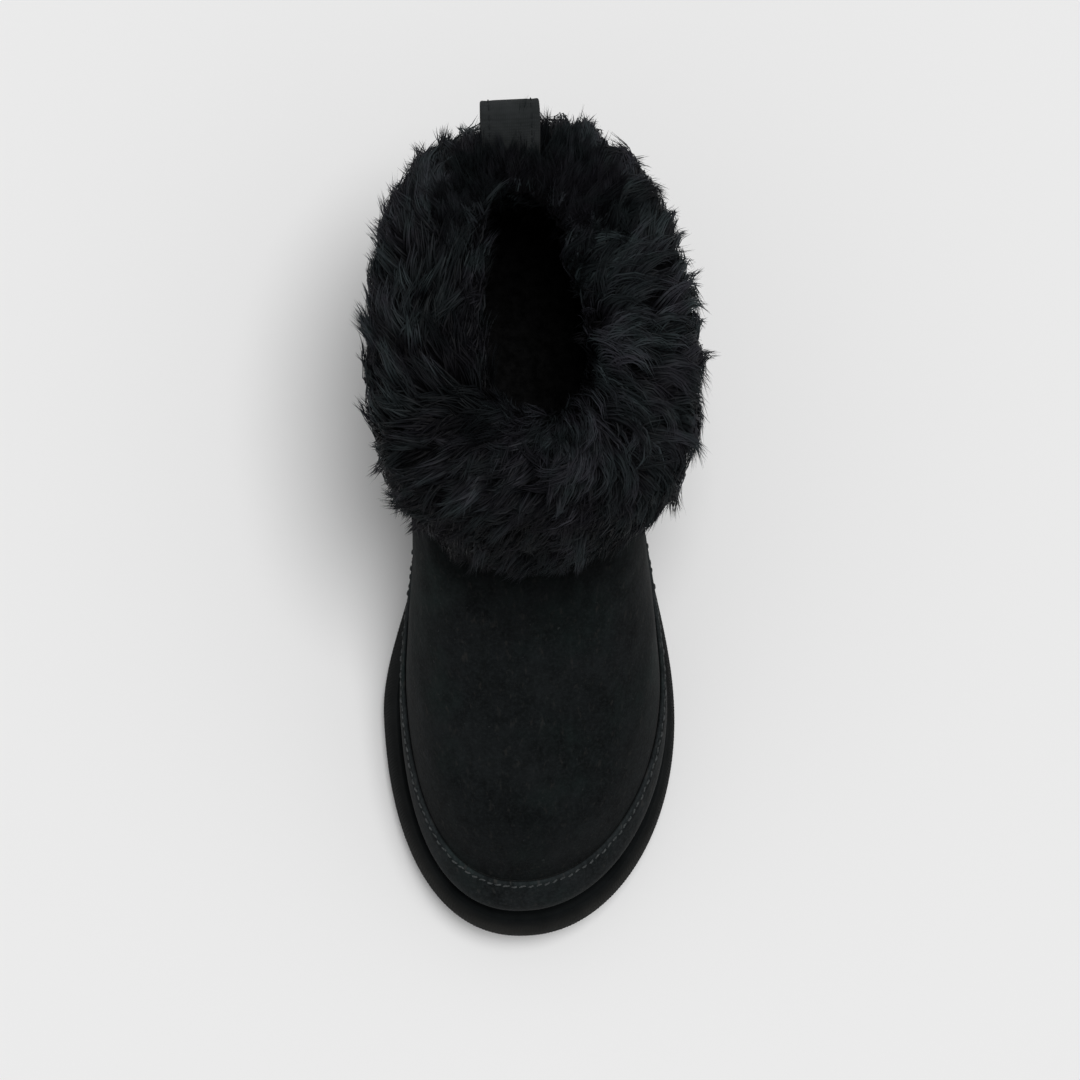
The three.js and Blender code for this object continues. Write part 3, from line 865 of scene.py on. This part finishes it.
def make_pull_tab():
    path = tab_path(90)
    ways = unit(np.gradient(path, axis=0))
    face = np.stack([-ways[:, 1], ways[:, 0]], -1)
    half_w, half_t = TAB_WIDTH / 2 - TAB_EDGE, TAB_THICK / 2 - TAB_EDGE
    turn = np.linspace(0, math.pi / 2, 4)
    corners = []
    for quarter, (side, out) in enumerate(((1, 1), (-1, 1), (-1, -1), (1, -1))):
        a = turn + quarter * math.pi / 2
        corners += zip(side * half_w + TAB_EDGE * np.cos(a), out * half_t + TAB_EDGE * np.sin(a))
    section = np.array(corners)
    fine = []
    for a, b in zip(section, np.roll(section, -1, 0)):
        parts = 10 if np.linalg.norm(b - a) > 4 else 1
        fine += [mix(a, b, i / parts) for i in range(parts)]
    section = np.array(fine)
    seam = 0.16 * np.exp(-(((np.abs(section[:, 0]) - TAB_WIDTH / 2 + TAB_SEAM) / 0.5) ** 2))
    lifted = section[:, 1] - np.sign(section[:, 1]) * seam
    y, z = (path[:, k, None] + face[:, k, None] * lifted for k in (0, 1))
    grid = np.stack([np.broadcast_to(TAB_X + section[:, 0], y.shape), y, z], -1)
    middle = grid.mean(1, keepdims=True)
    first, last = mix(grid[:1], middle[:1], 0.98), mix(grid[-1:], middle[-1:], 0.98)
    grid = np.concatenate([first, grid, last])
    quads = grid_quads(len(grid), grid.shape[1])
    tab = make_mesh("pull_tab_tape", grid, quads[:, ::-1])
    finish_piece(tab, TAPE, "webbing", "pull_tab")
    stitch_tab(path, face)


def stitch_tab(path, face):
    """One row of small stitches along each edge, on the side that looks out."""
    arc = run_lengths(path)
    f = np.linspace(-1, 1, 7)
    centres = np.arange(3.0, arc[-1] - 2, TAB_STITCH_STEP)
    places = centres[:, None] + f * TAB_STITCH_LENGTH / 2
    middle, out = at_lengths(path, arc, places), at_lengths(face, arc, places)
    paths = []
    for side in (-1, 1):
        for sign in (-1, 1):
            off = sign * (TAB_THICK / 2 - 0.12 + 0.2 * (1 - f**2))
            x = np.full((*places.shape, 1), TAB_X + side * (TAB_WIDTH / 2 - TAB_SEAM))
            paths.append(np.concatenate([x, middle + out * off[:, None]], -1))
    radii = TAB_STITCH_THICK / 2 * np.sqrt(np.maximum(1 - np.abs(f) ** 4, 0.03))
    make_threads("tab_stitches", np.concatenate(paths), radii, 6, (1, 0, 0), TAB_THREAD)


# ---- fur
FUR_COLUMNS = 360
FUR_STEPS = 6
FUR_HANG = [(2.6, 0.8), (1.2, 2.4)]          # past the hem, over the suede: how far, out
FUR_OVER = dict(front=21.5, side=17.0, back=3.0)  # how far in the crown's fur reaches
FRONT_CORNERS = 2.3          # extra fullness at the two corners of the front
BACK_CORNERS = (4.3, 1.6)    # and of the back, on the outer and the inner side
FRONT_FLAT = 2.2             # and how much flatter the middle of the front is
FULLNESS = [                 # and how much fuller or leaner it is at each angle, in degrees
    (0, 0), (40, 0), (60, -1.2), (85, 0), (98, -0.6), (112, -1.8), (132, -0.9), (150, 1.0),
    (163, 2.6), (174, 1.2), (182, 0), (215, 0), (240, -0.9), (262, 0), (360, 0),
]
FUR_INSIDE_HANG = [(0.76, 2.5), (0.64, 1.5)]
PARTING = 0.60               # where the fur parts to fall out or in
SKIN_DEPTH = 5.2             # the fibres' roots under the fur's outer form, at the most
FIBRE_STEPS = 5
FIBRE_WIDTH = 0.46
FIBRE_TAPER = np.array([0.8, 1.0, 0.95, 0.62])
FIBRE_TONES = np.array([0.15, 0.5, 0.85, 1.0, 0.9]) * 0.62   # from root to tip; the dark root is painted shade
LOCK_HALF = (3.9, 3.6)       # a lock's half size at the root, across it and along it
LOCK_LAYER = 3.4             # how deep its lowest fibres lie
PROUD_SHARE = 0.34           # of the locks lift their tips, and fewer on the inner side
PROUD_INNER = 0.2
INNER_SIDE = (0.60, 0.88)    # shares of a turn
OUTSIDE = (0.03, 0.64)       # shares across the form, over the parting
TUFTS = [                    # share of a turn round the collar, length there
    (0.34, 10), (0.37, 17), (0.41, 23), (0.46, 25), (0.50, 25), (0.54, 22), (0.58, 14), (0.62, 9),
]
TUFT_ROOTS = (0.40, 0.54)    # across the form
TUFT_LEAN = 0.92             # back, for each step up
TUFT_HALF = (3.4, 2.2)
TUFT_WIDTH = 0.40
TUFT_TAPER = np.array([0.9, 1.0, 0.9, 0.6])
# Tuft fibres' tones from root to tip; the dark root is painted shade.
TUFT_TONES = np.array([0.05, 0.2, 0.5, 0.85, 1.0]) * 0.6
# How the fur is combed, round the collar: the way a lock sets off and the way it ends, in
# degrees from straight down its form, positive towards the growing angle; and how pale it
# is down the outside and over the crown: painted light and shade, paler where the fur faces
# the light and darker where the crown turns away from it.
COMB_COLUMNS = "angle start end outside crown".split()
COMB = np.array([
    [0, -34, -48, 0.46, 0.84], [30, -12, -60, 0.60, 0.92], [60, 25, -65, 1.22, 1.12],
    [90, 52, -35, 1.60, 1.22], [120, 45, -15, 1.60, 1.18], [150, 15, -10, 1.10, 0.84],
    [180, 0, 0, 0.70, 0.50], [210, -15, -30, 1.00, 0.54], [240, -50, -58, 1.55, 0.62],
    [270, -70, -74, 1.46, 0.40], [292, -68, -66, 0.94, 0.40], [305, 0, 0, 0.70, 0.52],
    [315, 0, -8, 0.54, 0.66], [330, -16, -24, 0.46, 0.80], [345, -28, -36, 0.46, 0.84],
    [360, -34, -48, 0.46, 0.84],
])


def combed(name, turn):
    return np.interp(np.mod(turn, 1) * 360, COMB[:, 0], COMB[:, COMB_COLUMNS.index(name)])


def fur_depth(angles):
    ends = mix(FUR_OVER["front"], FUR_OVER["back"], (1 - np.cos(angles)) / 2)
    outer_back = 3.2 * np.exp(-(((np.mod(angles, TURN) - math.radians(138)) / 0.5) ** 2))
    return mix(ends, FUR_OVER["side"], np.sin(angles) ** 2) + outer_back


def below_hem(angles, distance, out):
    """A ring on the suede, a given distance down it from the cuff's hem, moved out."""
    rings = np.stack([upper_ring(angles, t) for t in np.linspace(CUFF_OUTSIDE[0][0], 0.6, 12)])
    run = np.cumsum(np.linalg.norm(np.diff(rings, axis=0), axis=2), axis=0)
    run = np.concatenate([np.zeros((1, len(angles))), run])
    place = [at_lengths(rings[:, i], run[:, i], distance) for i in range(len(angles))]
    return np.array(place) + upper_normals(angles, 0.72) * out


def fur_form():
    """Rings of the fur's outer form, from the suede under the hem, over the crown, inside."""
    angles = turn_of(FUR_COLUMNS)
    flat = np.ones(len(angles))
    sine, cosine = np.sin(angles), np.cos(angles)
    corner = 2.6 * CUFF_CORNERS * sine**2 * np.maximum(0, cosine)
    corner += FRONT_CORNERS * np.sin(2 * angles) ** 2 * (cosine > 0)
    corner -= FRONT_FLAT * np.maximum(0, cosine) ** 6
    back = np.where(sine > 0, *BACK_CORNERS)
    corner += 2.6 * back * np.abs(sine) * np.minimum(0, cosine) ** 2
    corner += np.interp(np.degrees(np.mod(angles, TURN)), *np.array(FULLNESS).T)
    fuller = 1 + corner / CUFF_OUTSIDE[2][1]
    depth = fur_depth(angles)
    rows = [below_hem(angles, down, out) for down, out in FUR_HANG]
    rows += [off_upper(angles, t, out * fuller) for t, out in CUFF_OUTSIDE]
    crown = zip(CUFF_CROWN_OUT, (fuller, fuller, flat))
    rows += [off_level(angles, 1, out * share, up) for (out, up), share in crown]
    rows += [off_level(angles, 1, -WALL - depth * part, up) for part, up in CUFF_CROWN_IN]
    rows.append(off_upper(angles, CUFF_HEM_IN, -WALL - depth * 0.6))
    rows += [off_upper(angles, t, flat * (-WALL - out)) for t, out in FUR_INSIDE_HANG]
    return spline_rows(np.stack(rows), FUR_STEPS)


class Coat:
    """The fur's form, sampled by the share of a turn round it and the share q across it."""

    def __init__(self, grid):
        steps = np.linalg.norm(np.diff(grid, axis=0), axis=2).mean(1)
        self.q = np.concatenate([[0], np.cumsum(steps)]) / steps.sum()
        round_step = np.linalg.norm(np.roll(grid, -1, 1) - np.roll(grid, 1, 1), axis=2)
        round_step *= grid.shape[1] / 2
        q_step = np.linalg.norm(np.gradient(grid, axis=0), axis=2) / np.gradient(self.q)[:, None]
        layers = [grid, grid_normals(grid), round_step[..., None], q_step[..., None]]
        self.layers = np.concatenate(layers, -1)

    def at(self, turn, q):
        rows, columns = self.layers.shape[:2]
        r = np.interp(q, self.q, np.arange(rows))
        c = np.mod(turn, 1) * columns
        r0 = np.minimum(r.astype(int), rows - 2)
        c0 = np.floor(c).astype(int) % columns
        fr, fc = (r - r0)[..., None], (c - np.floor(c))[..., None]
        c1 = (c0 + 1) % columns
        low = mix(self.layers[r0, c0], self.layers[r0, c1], fc)
        return mix(low, mix(self.layers[r0 + 1, c0], self.layers[r0 + 1, c1], fc), fr)


COAT = Coat(fur_form())


def thickness_at(q):
    """Share of the fur's full depth: thin at both hems."""
    return smooth(q / 0.16) * smooth((1 - q) / 0.2)


def make_fur_skin():
    """The dark hide that the fibres grow from, closed round the shaft's edge."""
    q = COAT.q[3:-6:2]
    outer = COAT.layers[3:-6:2, ::2]
    form, normals = outer[..., :3], outer[..., 3:6]
    lumps = 0.9 * wave_noise(form, 24, 11) + 0.6 * wave_noise(form, 10, 12)
    sunk = -0.6 - (SKIN_DEPTH - 0.6 - lumps) * thickness_at(q)[:, None]
    outer = form + normals * sunk[..., None]
    angles = turn_of(FUR_COLUMNS)[::2]
    flat = np.ones(len(angles))
    within = flat * (-WALL - GAP)
    inner = [off_upper(angles, t, within) for t in (0.8, 0.9)]
    inner += [off_level(angles, 1, within, GAP), off_level(angles, 1, flat * GAP, GAP)]
    inner += [off_upper(angles, t, flat * GAP) for t in (0.93, 0.84, 0.74)]
    grid = np.concatenate([outer, np.stack(inner)])
    skin = make_mesh("fur_skin", grid, grid_quads(len(grid), len(angles), True))
    finish_piece(skin, SKIN, "fur", "fur_cuff")


def follow_form(turn, q, way, end_way, reach, falls):
    """Places of each lock's middle line, following the form from its root, and its ways."""
    steps = 8
    places, ways = [np.stack([turn, q], -1)], []
    for k in range(steps):
        now = mix(way, end_way, smooth((k + 0.5) / steps))
        here = COAT.at(turn, q)
        turn = turn + np.sin(now) * reach / steps / here[..., 6]
        q = q - falls * np.cos(now) * reach / steps / here[..., 7]
        places.append(np.stack([turn, q], -1))
        ways.append(now)
    ways = np.stack([ways[0]] + ways, 1)
    return np.stack(places, 1), ways


def along(values, f):
    """Values (n, k) or (n, k, 2) read at shares f (n, m) of their length."""
    k = values.shape[1] - 1
    place = np.clip(f, 0, 1) * k
    low = np.minimum(place.astype(int), k - 1)
    part = place - low
    row = np.arange(len(values))[:, None]
    if values.ndim == 3:
        part = part[..., None]
    return mix(values[row, low], values[row, low + 1], part)


def make_fibres(name, paths, widths, face, shade, material):
    """Flat fibres that taper to a point: paths (n, k, 3), widths (n, k - 1), shade (n, k)."""
    n, k, _ = paths.shape
    side = unit(np.cross(unit(np.gradient(paths, axis=1)), face))[:, :-1]
    half = side * widths[..., None] / 2
    edges = np.stack([paths[:, :-1] - half, paths[:, :-1] + half], 2).reshape(n, -1, 3)
    i = 2 * np.arange(k - 2)[:, None]
    faces = np.concatenate([i + [0, 1, 2], i + [1, 3, 2], [[2 * k - 4, 2 * k - 3, 2 * k - 2]]])
    faces = faces[None] + (np.arange(n) * (2 * k - 1))[:, None, None]
    fur = make_mesh(name, np.concatenate([edges, paths[:, -1:]], 1), faces.reshape(-1, 3))
    shades = np.concatenate([np.repeat(shade[:, :-1], 2, axis=1), shade[:, -1:]], 1)
    mark_points(fur, "shade", np.clip(shades, 0, 1))
    finish_piece(fur, material, "fur")


def strew(n):
    """Where fibres stand in a lock, from its middle out and in two ways across it, and how
    much each is cut short."""
    radius, spin = np.sqrt(rng.random(n)), rng.uniform(0, TURN, n)
    return radius, radius * np.cos(spin), radius * np.sin(spin), rng.uniform(0, 0.12, n)


def lay_locks(count, turn_range, q_range, length):
    """Locks over part of the form: their middle lines and ways, and how each one looks."""
    turn = rng.uniform(*turn_range, count)
    q = rng.uniform(*q_range, count)
    root = COAT.at(turn, q)[..., :3]
    falls = np.where(q < PARTING + rng.normal(0, 0.035, count), 1.0, -1.0)
    stray = 16 * wave_noise(root, 30, 21) + rng.normal(0, 17, count)
    stray -= 38 * smooth((q - 0.36) / 0.1) * np.exp(-(((turn - 0.71) / 0.09) ** 2))
    way = np.radians(combed("start", turn) + stray)
    end_way = np.radians(combed("end", turn) + stray + rng.normal(0, 15, count))
    reach = length * rng.uniform(0.7, 1.3, count)
    places, _ = follow_form(turn, q, way, end_way, reach, falls)
    room = np.where(falls > 0, q - rng.uniform(0.004, 0.05, count), 0.97 - q)
    drop = np.abs(places[:, -1, 1] - q) + 1e-6
    reach = reach * np.clip(room / drop, 0.25, 1)
    places, ways = follow_form(turn, q, way, end_way, reach, falls)
    # Painted light and shade round the collar from COMB, paler near the outer hem, then each lock's
    # own tone at random.
    tone = mix(combed("outside", turn), combed("crown", turn), smooth((q - 0.34) / 0.14))
    tone *= 1 + 0.12 * smooth((0.15 - q) / 0.1)
    tone = tone * np.exp(rng.normal(0, 0.32, count) + 0.8 * wave_noise(root, 24, 23))
    rise = rng.uniform(-0.9, 0.9, count) + 1.5 * wave_noise(root, 14, 25)
    inner_side = (turn > INNER_SIDE[0]) & (turn < INNER_SIDE[1])
    proud = rng.random(count) < np.where(inner_side, PROUD_INNER, PROUD_SHARE)
    tip_lift = rng.normal(0.2, 0.8, count) + proud * rng.uniform(2.0, 5.5, count)
    return dict(places=places, ways=ways, falls=falls, tone=tone, rise=rise, proud=proud,
                tip_lift=tip_lift, thick=thickness_at(q))


def grow_fur(name, locks, per_lock, turn_range, q_range, length, material, tone=1.0):
    """Locks of fibres over part of the form: they follow its surface, gather towards their
    tips and lie in layers, so that ridges catch the light between dark gaps."""
    owner = np.repeat(np.arange(locks), per_lock)
    laid = lay_locks(locks, turn_range, q_range, length)
    lock = {key: value[owner] for key, value in laid.items()}
    n = len(owner)
    radius, sideward, backward, cut = strew(n)
    s = np.linspace(0, 1, FIBRE_STEPS)
    f = (1.04 - 0.30 * radius - cut)[:, None] * s
    place, way = along(lock["places"], f), along(lock["ways"], f)
    here = COAT.at(place[..., 0], place[..., 1])
    gather = 1 - mix(0.68, 0.90, lock["proud"])[:, None] * s
    wander = rng.normal(0, 0.9, (n, 1)) * s**2 + rng.normal(0, 0.16, (n, FIBRE_STEPS)) * s
    across = LOCK_HALF[0] * sideward[:, None] * gather + wander
    back = LOCK_HALF[1] * backward[:, None] * (1 - 0.5 * s)
    turn = place[..., 0] + (np.cos(way) * across + np.sin(way) * back) / here[..., 6]
    down = (np.sin(way) * across - np.cos(way) * back) / here[..., 7]
    q = np.clip(place[..., 1] + lock["falls"][:, None] * down, 0.002, 0.998)
    here = COAT.at(turn, q)
    point, normal = here[..., :3], here[..., 3:6]
    layer = -LOCK_LAYER * rng.random(n) ** 1.4
    rise = 1 - (1 - np.minimum(1, s / 0.5)) ** 2
    ridge = 1.5 * (1 - radius**2)[:, None] * np.sin(math.pi * np.minimum(1, 0.15 + s * 0.8))
    lying = layer[:, None] + ridge + lock["rise"][:, None] - 1.5
    height = mix(-SKIN_DEPTH, lying, rise) * (0.12 + 0.88 * thickness_at(q))
    lift = (lock["tip_lift"] + rng.normal(0, 0.7, n)) * (0.3 + 0.7 * lock["thick"])
    height += lift[:, None] * s**3
    path = point + normal * (height + 0.25)[..., None]
    width = FIBRE_WIDTH * rng.uniform(0.7, 1.25, n)[:, None] * FIBRE_TAPER
    roll = rng.normal(0, 0.65, (n, 1, 1))
    sideways = np.cross(unit(np.gradient(path, axis=1)), normal)
    face = unit(normal * np.cos(roll) + unit(sideways) * np.sin(roll))
    # Painted shade: fibres lying deeper in the fur are darker, and a lock's edge fibres darker
    # than its middle, which is painted paler; FIBRE_TONES paints the roots dark as well.
    level = smooth((height + 4.2) / 4.6)
    own_tone = lock["tone"] * (1.18 - 0.42 * radius) * np.exp(rng.normal(0, 0.11, n)) * tone
    shade = own_tone[:, None] * mix(0.22, 1.0, level) * FIBRE_TONES
    make_fibres(name, path, width, face, shade, material)


def grow_tufts(name, clumps, per_clump, material, tone):
    """Upright pointed clumps round the foot of the pull tab, leaning back along it: TUFTS
    has their length at each share of a turn."""
    turn = rng.uniform(TUFTS[0][0], TUFTS[-1][0], clumps)
    q = rng.uniform(*TUFT_ROOTS, clumps)
    here = COAT.at(turn, q)
    length = np.interp(turn, *np.array(TUFTS).T) * rng.uniform(0.78, 1.12, clumps)
    length *= mix(1.04, 0.56, smooth((q - 0.42) / 0.11))
    lean = rng.normal(0, 0.16, clumps) + 0.35 * (0.5 - turn) / 0.1
    way = unit(np.stack([lean, rng.normal(TUFT_LEAN, 0.1, clumps), np.ones(clumps)], -1))
    clump_tone = tone * np.exp(rng.normal(0, 0.35, clumps))
    owner = np.repeat(np.arange(clumps), per_clump)
    n = len(owner)
    radius, sideward, backward, cut = strew(n)
    aside = np.stack([sideward, backward, 0 * cut], -1) * (*TUFT_HALF, 0)
    root = (here[:, :3] - here[:, 3:6] * 1.5)[owner]
    reach = (length[owner] * (1.05 - 0.35 * radius - cut))[:, None, None]
    s = np.linspace(0, 1, FIBRE_STEPS)[:, None]
    bend = rng.normal(0, 0.8, (n, 1, 3)) + rng.normal(0, 1.8, (clumps, 1, 3))[owner]
    path = root[:, None] + way[owner][:, None] * s * reach + aside[:, None] * (1 - 0.72 * s)
    path = path + bend * s**2
    width = TUFT_WIDTH * rng.uniform(0.7, 1.2, n)[:, None] * TUFT_TAPER
    face = unit(rng.normal(0, 1, (n, 1, 3)) * [0.4, 0.4, 0.2] + [0, -0.8, 0.6])
    # Painted light and shade: a clump's middle fibres paler than its edges.
    own_tone = clump_tone[owner] * (1.2 - 0.5 * radius) * np.exp(rng.normal(0, 0.12, n))
    shade = own_tone[:, None] * TUFT_TONES
    make_fibres(name, path, width, np.broadcast_to(face, path.shape), shade, material)


def make_fur():
    """The hide and the fibres on it. After its name, a piece has its locks, the fibres in a
    lock, the shares of a turn and of the form it covers, and the length of a lock."""
    make_fur_skin()
    grow_fur("fur_outer_side", 620, 32, (0.10, 0.40), OUTSIDE, 25, FUR)
    grow_fur("fur_inner_side", 700, 28, INNER_SIDE, OUTSIDE, 18, FUR)
    grow_fur("fur_front", 680, 28, (-0.13, 0.11), OUTSIDE, 15, FUR)
    grow_fur("fur_back", 420, 32, (0.39, 0.61), (0.03, 0.62), 18, FUR)
    # painted shade: the collar's inside is darker still
    grow_fur("fur_collar_inside", 560, 24, (0.0, 1.0), (0.56, 0.93), 13, FUR_SHADED_INSIDE, 0.7)
    grow_tufts("fur_tab_tufts", 220, 40, FUR, 0.72)


make_upper()
make_mudguard()
make_stitches()
make_sole()
make_tread()
make_insole()
make_pull_tab()
make_fur()
